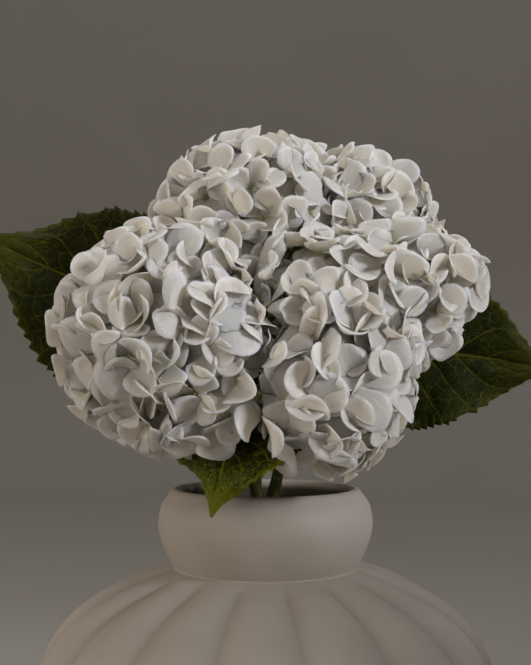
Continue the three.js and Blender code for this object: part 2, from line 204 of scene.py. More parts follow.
class Finish:
    """A material, and the nodes that it is made of."""

    def __init__(self, name):
        self.material = bpy.data.materials.new(name)
        self.material.use_nodes = True
        self.tree = self.material.node_tree
        self.tree.nodes.clear()

    def node(self, kind, values=None, out=0, **settings):
        """Adds a node: its settings first, then the values or links of its sockets."""
        made = self.tree.nodes.new("ShaderNode" + kind)
        for key, value in settings.items():
            setattr(made, key, value)
        for key, value in (values or {}).items():
            if isinstance(value, Signal):
                self.tree.links.new(value.socket, made.inputs[key])
            elif made.inputs[key].type == "RGBA":
                made.inputs[key].default_value = (*value, 1)
            else:
                made.inputs[key].default_value = value
        return Signal(self, made.outputs[out]) if made.outputs else None

    def maths(self, operation, *values):
        return self.node("Math", dict(enumerate(values)), operation=operation)

    def place(self, stretch=(1, 1, 1)):
        """Object coordinates, stretched where a pattern runs one way."""
        where = self.node("TexCoord", out="Object")
        return self.node("Mapping", {"Vector": where, "Scale": stretch})

    def split(self, vector):
        return [self.node("SeparateXYZ", {0: vector}, out=axis) for axis in "XYZ"]

    def noise(self, where, scale, detail=2, roughness=0.5):
        values = {"Vector": where, "Scale": scale, "Detail": detail, "Roughness": roughness}
        return self.node("TexNoise", values)

    def cells(self, where, scale, out, **settings):
        return self.node("TexVoronoi", {"Vector": where, "Scale": scale}, out, **settings)

    def mix(self, share, first, second):
        """Colour mix: share 0 gives the first, 1 the second."""
        return self.node("Mix", {0: share, 6: first, 7: second}, out=2, data_type="RGBA")

    def ramp(self, value, low, high):
        """0 below low, 1 above high and a smooth rise between them."""
        values = {"Value": value, "From Min": low, "From Max": high}
        return self.node("MapRange", values, interpolation_type="SMOOTHSTEP")

    def bump(self, height, distance, strength=1.0):
        values = {"Height": height, "Distance": distance, "Strength": strength}
        return self.node("Bump", values)

    def surface(self, **values):
        """The Principled shader, with its sockets written as words joined by underscores."""
        named = {key.replace("_", " "): value for key, value in values.items()}
        self.node("OutputMaterial", {"Surface": self.node("BsdfPrincipled", named)})
        print(f"finish {self.material.name}: {len(self.tree.nodes)} nodes")
        return self.material


print("helpers of a finish:", ", ".join(word for word in vars(Finish) if word[0] != "_"))

# %% [markdown]
# The vase is a fluted stoneware vase: a wide low belly with sixteen lobes, like a squat
# pumpkin, and a plain barrel-shaped collar. It could be cast in a mould or thrown and then
# pressed in. Its outline is half a section through the wall, from the foot up the outside, over
# the lip and down the inside. The belly follows a superellipse, which is fuller than a circle,
# so its roundness is one number that is easy to match.

# %% Vase outline
BELLY_RADIUS = 146.8
BELLY_HEIGHT = 72
BELLY_RISE = 85
BELLY_DROP = 76
BELLY_EXPONENT = 2.2
BELLY_STEPS = 26
UNDER_STEPS = 18
FOOT_RADIUS = 62
FOOT_ROUNDING = 2
WALL = 7.5
FLOOR = 8
FLOOR_ROUNDING = 6
COLLAR = [(59.2, 151.5), (63.2, 158.5), (67.6, 169), (69.5, 179.5), (67.6, 191), (61.4, 200.2)]
COLLAR_STEPS = 5
CREASE_WIDTH = 1.2
LIP = [(60.2, 201.1), (58.5, 201.5), (56.8, 201.0), (55.7, 199.6), (55.5, 197.5)]
LIP_STEPS = 3
LIP_ROOM = 3
HOLLOW_RADIUS = 72
HOLLOW_SHARE = 0.9
HOLLOW_STEPS = 10


def belly_line(inner_radius, height, steps, inset=0):
    """A quarter of a superellipse, from the belly's widest ring to a smaller radius."""
    last = math.acos((inner_radius / BELLY_RADIUS) ** (BELLY_EXPONENT / 2))
    line = []
    for step in range(steps + 1):
        turn = last * step / steps
        out = BELLY_RADIUS * math.cos(turn) ** (2 / BELLY_EXPONENT)
        rise = height * math.sin(turn) ** (2 / BELLY_EXPONENT)
        line.append(Vector((out - inset, BELLY_HEIGHT + rise)))
    return line


def vase_outline():
    foot = [Vector((0, 0)), Vector((FOOT_RADIUS, 0))]
    under = belly_line(FOOT_RADIUS + FOOT_ROUNDING, -BELLY_DROP, UNDER_STEPS)[::-1]
    over = belly_line(COLLAR[0][0] + CREASE_WIDTH, BELLY_RISE, BELLY_STEPS)[1:]
    collar = smooth_line([Vector(p) for p in COLLAR], COLLAR_STEPS)
    lip = smooth_line([Vector(p) for p in LIP], LIP_STEPS)
    neck = [Vector((p.x - WALL, p.y)) for p in collar[::-2][LIP_ROOM:]]
    edge = HOLLOW_RADIUS + WALL
    hollow_top = belly_line(edge, BELLY_RISE * HOLLOW_SHARE, HOLLOW_STEPS, WALL)[::-1]
    hollow = belly_line(edge, -BELLY_DROP * HOLLOW_SHARE, HOLLOW_STEPS, WALL)[1:]
    floor = [Vector((HOLLOW_RADIUS - FLOOR_ROUNDING, FLOOR)), Vector((0, FLOOR))]
    return [*foot, *under, *over, *collar, *lip, *neck, *hollow_top, *hollow, *floor]


VASE_OUTLINE = vase_outline()
print("points in the vase's outline:", len(VASE_OUTLINE))

# %% [markdown]
# The outline is spun through a full turn. The flutes could be modelled one by one and repeated.
# Here they follow from a formula, because it is shorter and keeps all sixteen alike: how far a
# point lies round the axis says how near the next groove is, and the point is pushed in by that
# much. Only the outside of the belly is pressed, and the grooves fade out towards the collar
# and the foot, as they do on a pressed pot.

# %% Vase body
FLUTES = 16
STEPS_PER_FLUTE = 14
FLUTE_DEPTH = 5.2
FULL_FLUTE_RADIUS = 84
FIRST_GROOVE = math.radians(9.8)
PLAIN_BAND = 1
INWARD_PUSH = 0.8


def smooth_step(value, low, high):
    share = min(max((value - low) / (high - low), 0), 1)
    return share * share * (3 - 2 * share)


def belly_radius_at(z):
    height = BELLY_RISE if z > BELLY_HEIGHT else BELLY_DROP
    share = min(abs(z - BELLY_HEIGHT) / height, 1)
    return BELLY_RADIUS * (1 - share**BELLY_EXPONENT) ** (1 / BELLY_EXPONENT)


def press_grooves(bm):
    lowest, highest = FOOT_ROUNDING / 2, COLLAR[0][1] - PLAIN_BAND
    for vert in bm.verts:
        x, y, z = vert.co / MM
        radius = math.hypot(x, y)
        if z > highest or z < lowest or radius < belly_radius_at(z) - WALL / 2:
            continue
        fade = smooth_step(radius, COLLAR[0][0], FULL_FLUTE_RADIUS)
        turn = FLUTES * (math.atan2(x, -y) - FIRST_GROOVE) / 2
        depth = FLUTE_DEPTH * fade * (1 - abs(math.sin(turn)))
        inward = Vector((x, y, 0)) * (-INWARD_PUSH / radius)
        if z > BELLY_HEIGHT:
            inward.z = radius / BELLY_RADIUS - 1
        vert.co += inward.normalized() * depth * MM


def spin_outline(bm, points, steps):
    """Turns a line of points through a full circle about the Z axis."""
    verts = [bm.verts.new(point) for point in points]
    edges = [bm.edges.new(pair) for pair in zip(verts, verts[1:])]
    bmesh.ops.spin(
        bm, geom=verts + edges, cent=(0, 0, 0), axis=UP, angle=2 * math.pi, steps=steps,
        use_merge=True,
    )


def make_vase(material):
    side = Matrix.Rotation(FIRST_GROOVE, 3, "Z") @ Vector((0, -1, 0))
    points = [(side * p.x + UP * p.y) * MM for p in VASE_OUTLINE]
    bm = bmesh.new()
    spin_outline(bm, points, FLUTES * STEPS_PER_FLUTE)
    press_grooves(bm)
    finish_piece(bm, "vase_body", [material], ["vase"])


print("width of a flute at the widest ring, mm:", round(2 * math.pi * BELLY_RADIUS / FLUTES, 1))

# %% [markdown]
# The vase's glaze is a matt cream that has gone on by hand and is mottled where it lies thicker
# or thinner. Its grooves are painted darker, as painted shade. Its foot is left bare where it
# stood in the kiln, and its inside is painted dark, as painted shade. One flat colour would look
# like plastic, so the tone changes with noise, and the painted groove shade comes from the same
# formula as the shape. The inside is told from the outside by the curve that the collar's wall
# follows.

# %% Vase finish
CREAM = (0.46, 0.41, 0.355)
PALE_CREAM = (0.53, 0.48, 0.42)
# A darker cream, painted into the grooves as painted shade.
GROOVE_SHADE_CREAM = (0.335, 0.292, 0.242)
BARE_CLAY = (0.42, 0.33, 0.24)
# Painted shade: the dark colour painted on the inside of the collar, where little light falls.
INSIDE_SHADE_COLOUR = (0.10, 0.085, 0.06)
BELLY_TOP = (0.145, 0.150)
BARE_FOOT = (0.0016, 0.0026)
COLLAR_MIDDLE_RADIUS = 0.0655
COLLAR_MIDDLE_HEIGHT = 0.179
COLLAR_BEND = 13.2
WALL_MIDDLE = (-0.0035, -0.0020)
NECK_START = (0.13, 0.14)
LIP_EDGE = (0.1945, 0.1985)


def painted_inside_shade(glaze, x, y, z):
    """1 on the inside of the collar, below its lip, where shade is painted."""
    from_middle = z - COLLAR_MIDDLE_HEIGHT
    wall = COLLAR_MIDDLE_RADIUS - from_middle * from_middle * COLLAR_BEND
    within = 1 - glaze.ramp((x * x + y * y) ** 0.5 - wall, *WALL_MIDDLE)
    return within * glaze.ramp(z, *NECK_START) * (1 - glaze.ramp(z, *LIP_EDGE))


def stoneware_finish():
    glaze = Finish("stoneware")
    where = glaze.place()
    x, y, z = glaze.split(where)
    turn = (glaze.maths("ARCTAN2", x, 0 - y) - FIRST_GROOVE) * (FLUTES / 2)
    groove = 1 - abs(glaze.maths("SINE", turn))
    # Painted shade: the grooves of the belly are painted a darker cream.
    painted_groove_shade = groove**3 * (1 - glaze.ramp(z, *BELLY_TOP)) * 0.55
    mottle = glaze.ramp(glaze.noise(where, 14, 4), 0.3, 0.7)
    bare = 1 - glaze.ramp(z + glaze.noise(where, 60) * 0.001, *BARE_FOOT)
    colour = glaze.mix(mottle, CREAM, PALE_CREAM)
    colour = glaze.mix(painted_groove_shade, colour, GROOVE_SHADE_CREAM)
    colour = glaze.mix(bare, colour, BARE_CLAY)
    # Painted shade: the inside of the collar is painted dark.
    colour = glaze.mix(painted_inside_shade(glaze, x, y, z), colour, INSIDE_SHADE_COLOUR)
    grain = glaze.noise(where, 520, 3)
    swell = glaze.noise(where, 22, 2)
    bumps = glaze.bump(grain * 0.25 + swell, 0.0007, 0.35)
    rough = 0.50 + mottle * 0.08 + bare * 0.3 + grain * 0.06
    return glaze.surface(Base_Color=colour, Roughness=rough, Normal=bumps)


make_vase(stoneware_finish())

# %% [markdown]
# The vase holds clear water, which the stems stand in. Its solid already has the right shape,
# with a hole for every stem, so it is kept and only gets a finish: glass-clear, with water's own
# bend of light and the faintest ripple.

# %% Water
WATER_TINT = (0.93, 0.97, 0.95)
WATER_IOR = 1.333


def water_finish():
    water = Finish("water")
    ripple = water.bump(water.noise(water.place(), 30, 1), 0.0004, 0.2)
    return water.surface(
        Base_Color=WATER_TINT, Roughness=0.02, IOR=WATER_IOR, Transmission_Weight=1.0,
        Normal=ripple,
    )


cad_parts["water"].material_slots[0].material = water_finish()

# %% [markdown]
# Hydrangea stems are stiff and green, with a joint where each pair of leaves grew. Their lines
# could be typed in again. They are read from the solids instead, so that they can't drift from
# them: a plane cuts each one at many heights, and the middle of each cut is a point of the
# stem. A round tube then follows those points and swells at its joints.

# %% Stems
STEM_RADIUS = 3.8
STEM_SIDES = 16
STEM_CUTS = 10
STEM_STEPS = 4
CUT_MARGIN = 1.5
TOP_MARGINS = 1.5
PLAIN_SHARE = 0.97
JOINT_SWELL = 0.28
JOINT_LENGTH = 6
JOINTS = {"left": [217, 118], "right": [180], "top": [288, 240, 150], "back": [262, 236, 128]}


def middle_at(solid, height):
    bm = bmesh.new()
    bm.from_mesh(solid.data)
    geometry = [*bm.verts, *bm.edges, *bm.faces]
    cut = bmesh.ops.bisect_plane(bm, geom=geometry, plane_co=UP * height, plane_no=UP)
    found = [part.co.copy() for part in cut["geom_cut"] if isinstance(part, bmesh.types.BMVert)]
    bm.free()
    low = Vector([min(point[axis] for point in found) for axis in range(3)])
    high = Vector([max(point[axis] for point in found) for axis in range(3)])
    return (low + high) / 2


def stem_line(name):
    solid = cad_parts["stem_" + name]
    low, high = (corner.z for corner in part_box("stem_" + name))
    edge = CUT_MARGIN * MM
    tall = high - low - (1 + TOP_MARGINS) * edge
    heights = [low + edge + tall * i / (STEM_CUTS - 1) for i in range(STEM_CUTS)]
    points = [middle_at(solid, height) for height in heights]
    points[0] -= (points[1] - points[0]).normalized() * edge
    points[-1] += (points[-1] - points[-2]).normalized() * edge
    return smooth_line(points, STEM_STEPS)


def stem_radius(name, height):
    """The radius at a height, with a soft swelling at each joint."""
    swell = sum(math.exp(-(((height - joint) / JOINT_LENGTH) ** 2)) for joint in JOINTS[name])
    return STEM_RADIUS * (PLAIN_SHARE + JOINT_SWELL * swell)


def make_stem(name, material):
    line = STEM_LINES[name]
    bm = bmesh.new()
    add_tube(bm, line, [stem_radius(name, point.z / MM) * MM for point in line], STEM_SIDES)
    finish_piece(bm, "stalk_" + name, [material], ["stem_" + name])


STEM_LINES = {name: stem_line(name) for name in JOINTS}
print("stems end at, mm:", {name: round(line[-1].z / MM) for name, line in STEM_LINES.items()})

# %% [markdown]
# A stem is dark green with lighter streaks along it, a purple blush in places, and small pale
# spots, the pores that it breathes through. The streaks are noise that is stretched along the
# stem, and the spots are the middles of a cell pattern.

# %% Stem finish
STEM_GREEN = (0.024, 0.030, 0.003)
STEM_LIGHT = (0.05, 0.06, 0.006)
STEM_PURPLE = (0.06, 0.035, 0.02)
PALE_SPOT = (0.24, 0.22, 0.12)
STREAK_STRETCH = (1, 1, 0.12)
SPOT_STRETCH = (1, 1, 0.45)


def stem_finish():
    bark = Finish("stem")
    streaks = bark.ramp(bark.noise(bark.place(STREAK_STRETCH), 420, 3), 0.35, 0.7)
    blush = bark.ramp(bark.noise(bark.place(), 28, 3), 0.52, 0.75)
    cell = bark.cells(bark.place(SPOT_STRETCH), 330, "Distance")
    spots = 1 - bark.ramp(cell, 0.12, 0.24)
    colour = bark.mix(streaks, STEM_GREEN, STEM_LIGHT)
    colour = bark.mix(blush * 0.6, colour, STEM_PURPLE)
    colour = bark.mix(spots * 0.6, colour, PALE_SPOT)
    bumps = bark.bump(streaks + spots, 0.0002, 0.5)
    rough = 0.5 + streaks * 0.15
    return bark.surface(Base_Color=colour, Roughness=rough, Normal=bumps, Specular_IOR_Level=0.2)


STEM_FINISH = stem_finish()
for stem_name in JOINTS:
    make_stem(stem_name, STEM_FINISH)

# %% [markdown]
# A hydrangea leaf is a broad oval with a pointed tip and sawn edges. It could be cut from a
# picture as a flat card. Here it is a fine grid that is bent along the midrib, so that it holds
# from every side. Each leaf is given by three points of its midrib, the width of its two
# halves, the way that it faces, and where its stalk leaves the stem. A younger leaf is a
# lighter green. The outline is a list of widths from base to tip, rounded off a little, and
# the teeth are a saw wave that is added to it.

# %% Leaf outline
LEAVES = {
    "left": {
        "rib": [(-40, 27, 312), (-116, 42, 336), (-202, 26, 374)], "halves": (63, 72),
        "face": (0.25, -1, 0.1), "stem": "top", "node": 288, "young": 0.15,
    },
    "right": {
        "rib": [(50, 34, 288), (120, 32, 291), (196, 8, 277)], "halves": (56, 60),
        "face": (-0.1, -1, 0.25), "stem": "back", "node": 262, "young": 0.2,
    },
    "front": {
        "rib": [(-9, -32, 238), (-20, -70, 234), (-31, -76, 192)], "halves": (53, 52),
        "face": (-0.25, -0.5, 1), "stem": "left", "node": 217, "young": 1.0,
    },
    "back_left": {
        "rib": [(-34, 40, 262), (-74, 88, 276), (-112, 132, 252)], "halves": (46, 46),
        "face": (0.3, 0.4, 1), "stem": "top", "node": 240, "young": 0.35,
    },
    "back_right": {
        "rib": [(44, 58, 262), (70, 104, 268), (92, 150, 238)], "halves": (44, 44),
        "face": (-0.2, 0.5, 1), "stem": "back", "node": 236, "young": 0.3,
    },
}
LEAF_WIDTHS = [
    (0, 0.03), (0.03, 0.28), (0.08, 0.52), (0.2, 0.86), (0.38, 1), (0.58, 0.9),
    (0.72, 0.64), (0.83, 0.33), (0.92, 0.12), (1, 0.012),
]
WIDTH_SAMPLES = 200
WIDTH_OFFSETS = (-0.02, -0.01, 0, 0.01, 0.02)
SHARP_END = 0.03
TEETH = 24
TOOTH_DEPTH = 0.06
TOOTH_CURVE = 1.3


def width_at(share):
    for (start, near), (end, far) in zip(LEAF_WIDTHS, LEAF_WIDTHS[1:]):
        if share <= end:
            return near + (far - near) * (share - start) / (end - start)
    return LEAF_WIDTHS[-1][1]


def averaged_width(share):
    widths = [width_at(min(max(share + offset, 0), 1)) for offset in WIDTH_OFFSETS]
    return sum(widths) / len(widths)


SMOOTH_WIDTHS = [averaged_width(i / WIDTH_SAMPLES) for i in range(WIDTH_SAMPLES + 1)]


def soft_width(share):
    """The rounded width, but the plain one at the leaf's base and tip."""
    if share < SHARP_END or share > 1 - SHARP_END:
        return width_at(share)
    place = share * WIDTH_SAMPLES
    below = int(place)
    start, end = SMOOTH_WIDTHS[below : below + 2]
    return start + (end - start) * (place - below)


def tooth_at(share, side):
    """A saw edge whose teeth point to the tip, each a little longer or shorter."""
    place = share * TEETH + (0.4 if side > 0 else 0) + 0.5 * noise.noise((share * 7, side * 3, 4))
    depth = 0.75 + 1.1 * noise.noise((math.floor(place) * 1.7, side, 0))
    fade = smooth_step(share, 0.06, 0.2) * (1 - 0.9 * smooth_step(share, 0.7, 0.97))
    return TOOTH_DEPTH * depth * (place % 1) ** TOOTH_CURVE * fade


for leaf_name, leaf in LEAVES.items():
    print(f"leaf {leaf_name}: {sum(leaf['halves'])} mm wide")

# %% [markdown]
# The side veins of the leaf leave the midrib in pairs and bend towards the tip. They sink into
# the blade, which puffs up between them, and the edges wave and droop. All this could be bump
# in the finish, but then it would vanish at the leaf's edge and in the shadows, so it is real
# shape: one height for each point, worked out from how far along the leaf and how far across
# it lies.

# %% Leaf relief
SIDE_VEINS = 7
VEIN_LEAN = 0.27
VEIN_BEND = 0.9
PUFF = 1.2
PUFF_CURVE = 0.7
MIDRIB_DEPTH = 0.9
MIDRIB_WIDTH = 1.6
EDGE_WAVE = 0.045
EDGE_WAVES = 2.6
CRUMPLE = 1.3
DROOP = 0.10


def leaf_relief(share, across, half):
    """Height over the folded blade, in millimetres: sunk veins, puffed panels and waves."""
    edge = abs(across)
    place = (share - VEIN_LEAN * edge**VEIN_BEND) * SIDE_VEINS
    from_vein = abs(place - round(place))
    fade = smooth_step(share, 0.0, 0.12) * (1 - smooth_step(share, 0.82, 1))
    fade *= smooth_step(edge, 0.0, 0.15)
    panel = math.sin(math.pi * min(from_vein, 0.5)) ** PUFF_CURVE
    puff = PUFF * panel * fade * (1 - 0.5 * edge)
    midrib = math.exp(-((edge * half / MIDRIB_WIDTH) ** 2)) * (1 - smooth_step(share, 0.8, 1))
    wave = half * edge**2 * math.sin(2 * math.pi * EDGE_WAVES * share + 2 * across)
    crumple = noise.noise((share * 9, across * 4, half)) * smooth_step(edge, 0, 0.3)
    droop = half * edge**3
    return puff - MIDRIB_DEPTH * midrib + EDGE_WAVE * wave + CRUMPLE * crumple - DROOP * droop


print("a side vein every", round(1 / SIDE_VEINS, 2), "of the leaf's length")

# %% [markdown]
# The blade starts as a flat grid. Each of its points moves to its place beside the midrib, out
# by the leaf's width there and up by the fold and the relief. The grid keeps, for its finish,
# how far along the leaf a point is and how far across. A Solidify modifier then gives the blade
# its thickness, with the upper finish on one side and the lower finish on the other. The
# leafstalk is a tube from the stem's joint into the midrib.

# %% Leaf blades
LEAF_ROWS = 132
LEAF_COLUMNS = 44
LEAF_THICKNESS = 0.45
LEAF_FOLD = 0.22
TOOTH_START = 0.80
TOOTH_SLANT = 0.5
STALK_THICK = 2.6
STALK_TAPER = 0.9
STALK_SAG = 2
STALK_INTO_RIB = 0.12
STALK_STEPS = 6
STALK_SIDES = 12


def leaf_frame(leaf, share):
    """The midrib's place at this share of its length, its way, and the blade's two axes."""
    start, middle, end = (Vector(point) for point in leaf["rib"])
    handle = 2 * middle - (start + end) / 2
    there = (1 - share) ** 2 * start + 2 * share * (1 - share) * handle + share**2 * end
    along = ((1 - share) * (handle - start) + share * (end - handle)).normalized()
    sideways = Vector(leaf["face"]).normalized().cross(along).normalized()
    return there, along, sideways, along.cross(sideways).normalized()


def leaf_grid(bm, leaf):
    details = bm.verts.layers.float_vector.new("leaf")
    grid = bmesh.ops.create_grid(bm, x_segments=LEAF_COLUMNS, y_segments=LEAF_ROWS, size=1)
    for vert in grid["verts"]:
        across, share = vert.co.x, (vert.co.y + 1) / 2
        half = leaf["halves"][0 if across < 0 else 1]
        there, along, sideways, normal = leaf_frame(leaf, share)
        width = soft_width(share)
        tooth = tooth_at(share, across) * smooth_step(abs(across), TOOTH_START, 1)
        reach = across * half * (width + tooth)
        lift = abs(reach) * LEAF_FOLD + leaf_relief(share, across, half) * min(1, width * 3)
        point = there + sideways * reach + normal * lift + along * tooth * half * TOOTH_SLANT
        vert.co = point * MM
        vert[details] = (share, across, leaf["young"])
    bmesh.ops.reverse_faces(bm, faces=bm.faces)


def leafstalk_line(leaf):
    stem = STEM_LINES[leaf["stem"]]
    start = min(stem, key=lambda point: abs(point.z - leaf["node"] * MM))
    base = leaf_frame(leaf, 0)[0] * MM
    end = leaf_frame(leaf, STALK_INTO_RIB)[0] * MM
    bend = (start + base) / 2 - UP * STALK_SAG * MM
    return smooth_line([start, bend, base, end], STALK_STEPS)


def make_leaf(name, materials, stalk_material):
    leaf = LEAVES[name]
    solid = ["leaf_" + name]
    bm = bmesh.new()
    leaf_grid(bm, leaf)
    blade = finish_piece(bm, "blade_" + name, materials, solid, merge=False)
    add_modifier(
        blade, "SOLIDIFY", thickness=LEAF_THICKNESS * MM, offset=0,
        material_offset=1, material_offset_rim=0,
    )
    line = leafstalk_line(leaf)
    turns = [math.pi / 2 * i / (len(line) - 1) for i in range(len(line))]
    radii = [(STALK_THICK - STALK_TAPER * math.sin(turn)) * MM for turn in turns]
    bm = bmesh.new()
    add_tube(bm, line, radii, STALK_SIDES)
    finish_piece(bm, "leafstalk_" + name, [stalk_material], solid)


print("points in the grid of one blade:", (LEAF_ROWS + 1) * (LEAF_COLUMNS + 1))

# %% [markdown]
# The upper side of the leaf is a deep green with a slight gloss, and its veins show as a
# lighter, yellower net. The underside is paler and dull, with veins that stand out. Both
# finishes read the same two distances that shaped the blade, so the colour of a vein always
# lies in its own groove. The small net between the side veins is a cell pattern, measured on
# the flat blade so that it does not stretch where the blade bends. A young leaf is fresh green
# at its tip and along its lower edge.

# %% Leaf finish
LEAF_DARK = (0.0075, 0.0085, 0.0003)
LEAF_GREEN = (0.018, 0.021, 0.0006)
LEAF_VEIN = (0.10, 0.12, 0.004)
LEAF_YOUNG = (0.175, 0.205, 0.006)
YOUNG_VEIN = (0.32, 0.36, 0.02)
LEAF_UNDER = (0.05, 0.08, 0.025)
LEAF_UNDER_VEIN = (0.13, 0.17, 0.06)
NET_SCALE = 13
FINE_NET_SCALE = 46


def leaf_places(leaf):
    """How far along and across the blade a point is, its youth, and its place laid flat."""
    share, across, young = leaf.split(leaf.node("Attribute", out="Vector", attribute_name="leaf"))
    flat = leaf.node("CombineXYZ", {"X": share * 1.5, "Y": across * 0.5, "Z": young})
    return share, abs(across), young, flat


def leaf_veins(leaf, share, edge, flat):
    """The midrib, the side veins, the net between them and the fine net, each from 0 to 1."""
    drift = leaf.node("TexNoise", {"Vector": flat, "Scale": 9, "Detail": 2}, out="Color")
    bent = leaf.node("Mix", {0: 0.025, 4: flat, 5: drift}, out=1, data_type="VECTOR")
    wobble = leaf.noise(flat, 14, 2) - 0.5
    place = (share - edge**VEIN_BEND * VEIN_LEAN) * SIDE_VEINS + wobble * 0.12
    from_vein = abs(place - leaf.maths("ROUND", place))
    thin = 1 - leaf.ramp(edge, 0.2, 1.0) * 0.5
    side_vein = (1 - leaf.ramp(from_vein, 0.012, 0.05)) * thin
    side_vein = side_vein * (0.5 + leaf.ramp(wobble, -0.12, 0.05) * 0.5)
    midrib = 1 - leaf.ramp(edge, 0.008, 0.028)
    coarse = leaf.cells(bent, NET_SCALE, 0, feature="DISTANCE_TO_EDGE")
    fine = leaf.cells(bent, FINE_NET_SCALE, 0, feature="DISTANCE_TO_EDGE")
    uneven = leaf.ramp(leaf.noise(flat, 10), 0.25, 0.7)
    net = (1 - leaf.ramp(coarse, 0.008, 0.045)) * uneven * 0.6
    fine_net = (1 - leaf.ramp(fine, 0.01, 0.12)) * 0.12
    return midrib, side_vein, net, fine_net


def leaf_top_finish():
    leaf = Finish("leaf_top")
    share, edge, young, flat = leaf_places(leaf)
    midrib, side_vein, net, fine_net = leaf_veins(leaf, share, edge, flat)
    patches = leaf.ramp(leaf.noise(flat, 7, 4, 0.6), 0.35, 0.7)
    blotches = leaf.noise(flat, 34, 3, 0.7) - 0.5
    tip = leaf.ramp(share + blotches * 0.9, 0.66, 0.98) * young
    lower = leaf.ramp(share, 0.4, 0.75) * young * 0.7 + 0.08
    rim = leaf.ramp(edge + blotches * 0.7, 0.78, 1.05) * lower
    fresh = leaf.maths("MAXIMUM", tip, rim)
    ribs = leaf.maths("MAXIMUM", midrib, side_vein * 0.75)
    veins = leaf.maths("MAXIMUM", ribs, leaf.maths("MAXIMUM", net, fine_net))
    uneven = 0.5 + leaf.noise(flat, 11, 2) * 0.8
    green = leaf.mix(fresh, leaf.mix(patches, LEAF_DARK, LEAF_GREEN), LEAF_YOUNG)
    vein = leaf.mix(young * 0.6 + fresh * 0.4, LEAF_VEIN, YOUNG_VEIN)
    relief = (1 - net) * 0.7 + (1 - fine_net) * 0.5 - side_vein * 0.6
    return leaf.surface(
        Base_Color=leaf.mix(veins * uneven, green, vein),
        Roughness=0.50 + patches * 0.1 + veins * 0.1,
        Normal=leaf.bump(relief, 0.0006, 0.7), Specular_IOR_Level=0.12,
    )


def leaf_under_finish():
    leaf = Finish("leaf_under")
    share, edge, _, flat = leaf_places(leaf)
    midrib, side_vein, net, fine_net = leaf_veins(leaf, share, edge, flat)
    patches = leaf.noise(flat, 8, 3)
    ribs = leaf.maths("MAXIMUM", midrib, side_vein)
    veins = leaf.maths("MAXIMUM", ribs, net + fine_net)
    green = leaf.mix(patches * 0.4, LEAF_UNDER, LEAF_UNDER_VEIN)
    return leaf.surface(
        Base_Color=leaf.mix(veins * 0.8, green, LEAF_UNDER_VEIN),
        Roughness=0.65 + patches * 0.1, Normal=leaf.bump(veins, 0.0006, 0.8),
    )


LEAF_FINISHES = [leaf_top_finish(), leaf_under_finish()]
for leaf_name in LEAVES:
    make_leaf(leaf_name, LEAF_FINISHES, STEM_FINISH)

# %% [markdown]
# What looks like a petal on a mophead hydrangea is a sepal: four of them stand round a tiny
# green bud. Each is a thin round blade, cupped like a spoon, that rises from the throat and
# leans out again, with a slightly waved edge. One sepal is a small grid rounded off into a
# disc, narrowed towards its claw and then bent. The bends, sizes and turns are drawn by seeded
# chance for each one, because no two are alike. It has few faces, because there are hundreds.

# %% Sepal shape
SEPAL_ACROSS = 6
SEPAL_ALONG = 7
SEPAL_THICKNESS = 0.28
SEPAL_LENGTH = (19, 25)
SEPAL_HALF = (0.40, 0.48)
CLAW = 0.36
CLAW_LENGTH = 0.5
SPOON_SHARE = 0.45
RIPPLES_ALONG = 1.4
RIPPLE_SLANT = 1.5
TIP_RIPPLE = 0.6


def rounded(across, along):
    """Takes a square from -1 to 1 onto a disc without a seam."""
    return across * math.sqrt(1 - along**2 / 2), along * math.sqrt(1 - across**2 / 2)


def draw_sepal(chance, open_angle):
    """The sizes and bends of one sepal, in millimetres and radians."""
    spoon = chance.random() < SPOON_SHARE
    curl = chance.uniform(0.1, 0.6) if spoon else chance.uniform(-1.0, -0.1)
    length = chance.uniform(*SEPAL_LENGTH)
    return {
        "length": length,
        "half": length * chance.uniform(*SEPAL_HALF),
        "rise": open_angle + chance.uniform(-0.15, 0.2),
        "tip": open_angle + curl,
        "cup": chance.uniform(0.2, 0.6) if spoon else chance.uniform(-0.4, 0.35),
        "ruffle": chance.uniform(0.3, 1.2),
        "phase": chance.random(),
        "twist": chance.uniform(-0.25, 0.25),
        "point": chance.uniform(-0.05, 0.06),
        "roll": chance.choice([0, 0, 1.2, -1.6, -2.2]),
    }


def sepal_point(across, along, sepal):
    """Where a point of the grid lies on the sepal, and its two distances for the finish."""
    disc_x, disc_y = rounded(across, along)
    share = (disc_y + 1) / 2
    narrow = CLAW + (1 - CLAW) * smooth_step(share, 0.0, CLAW_LENGTH)
    side = disc_x * sepal["half"] * narrow
    reach = sepal["length"] * (share + sepal["point"] * share**4 * (1 - abs(disc_x)))
    lean = sepal["rise"] + (sepal["tip"] - sepal["rise"]) * share / 2
    here = sepal["rise"] + (sepal["tip"] - sepal["rise"]) * share
    wave = 2 * math.pi * (RIPPLES_ALONG * share + sepal["phase"])
    ripple = math.sin(wave + RIPPLE_SLANT * disc_x)
    lift = sepal["cup"] * side * side / sepal["half"]
    lift += sepal["ruffle"] * (disc_x**2 + TIP_RIPPLE * share**4) * ripple
    lift += sepal["roll"] * abs(disc_x) ** 3 * share + sepal["twist"] * side
    out = Vector((side, reach * math.cos(lean), reach * math.sin(lean)))
    normal = Vector((0, -math.sin(here), math.cos(here)))
    return (out + normal * lift), (disc_x, share)


print("faces of one sepal before it gets its thickness:", SEPAL_ACROSS * SEPAL_ALONG)

# %% [markdown]
# A mophead is a ball of such florets on branching stalks. A head of this bunch is described by
# one to three balls, since the real ones bulge: a middle and a reach for each. Florets are
# spread over a ball by the golden angle, which covers it evenly without rows or a seam, as
# seeds are spread in a sunflower.

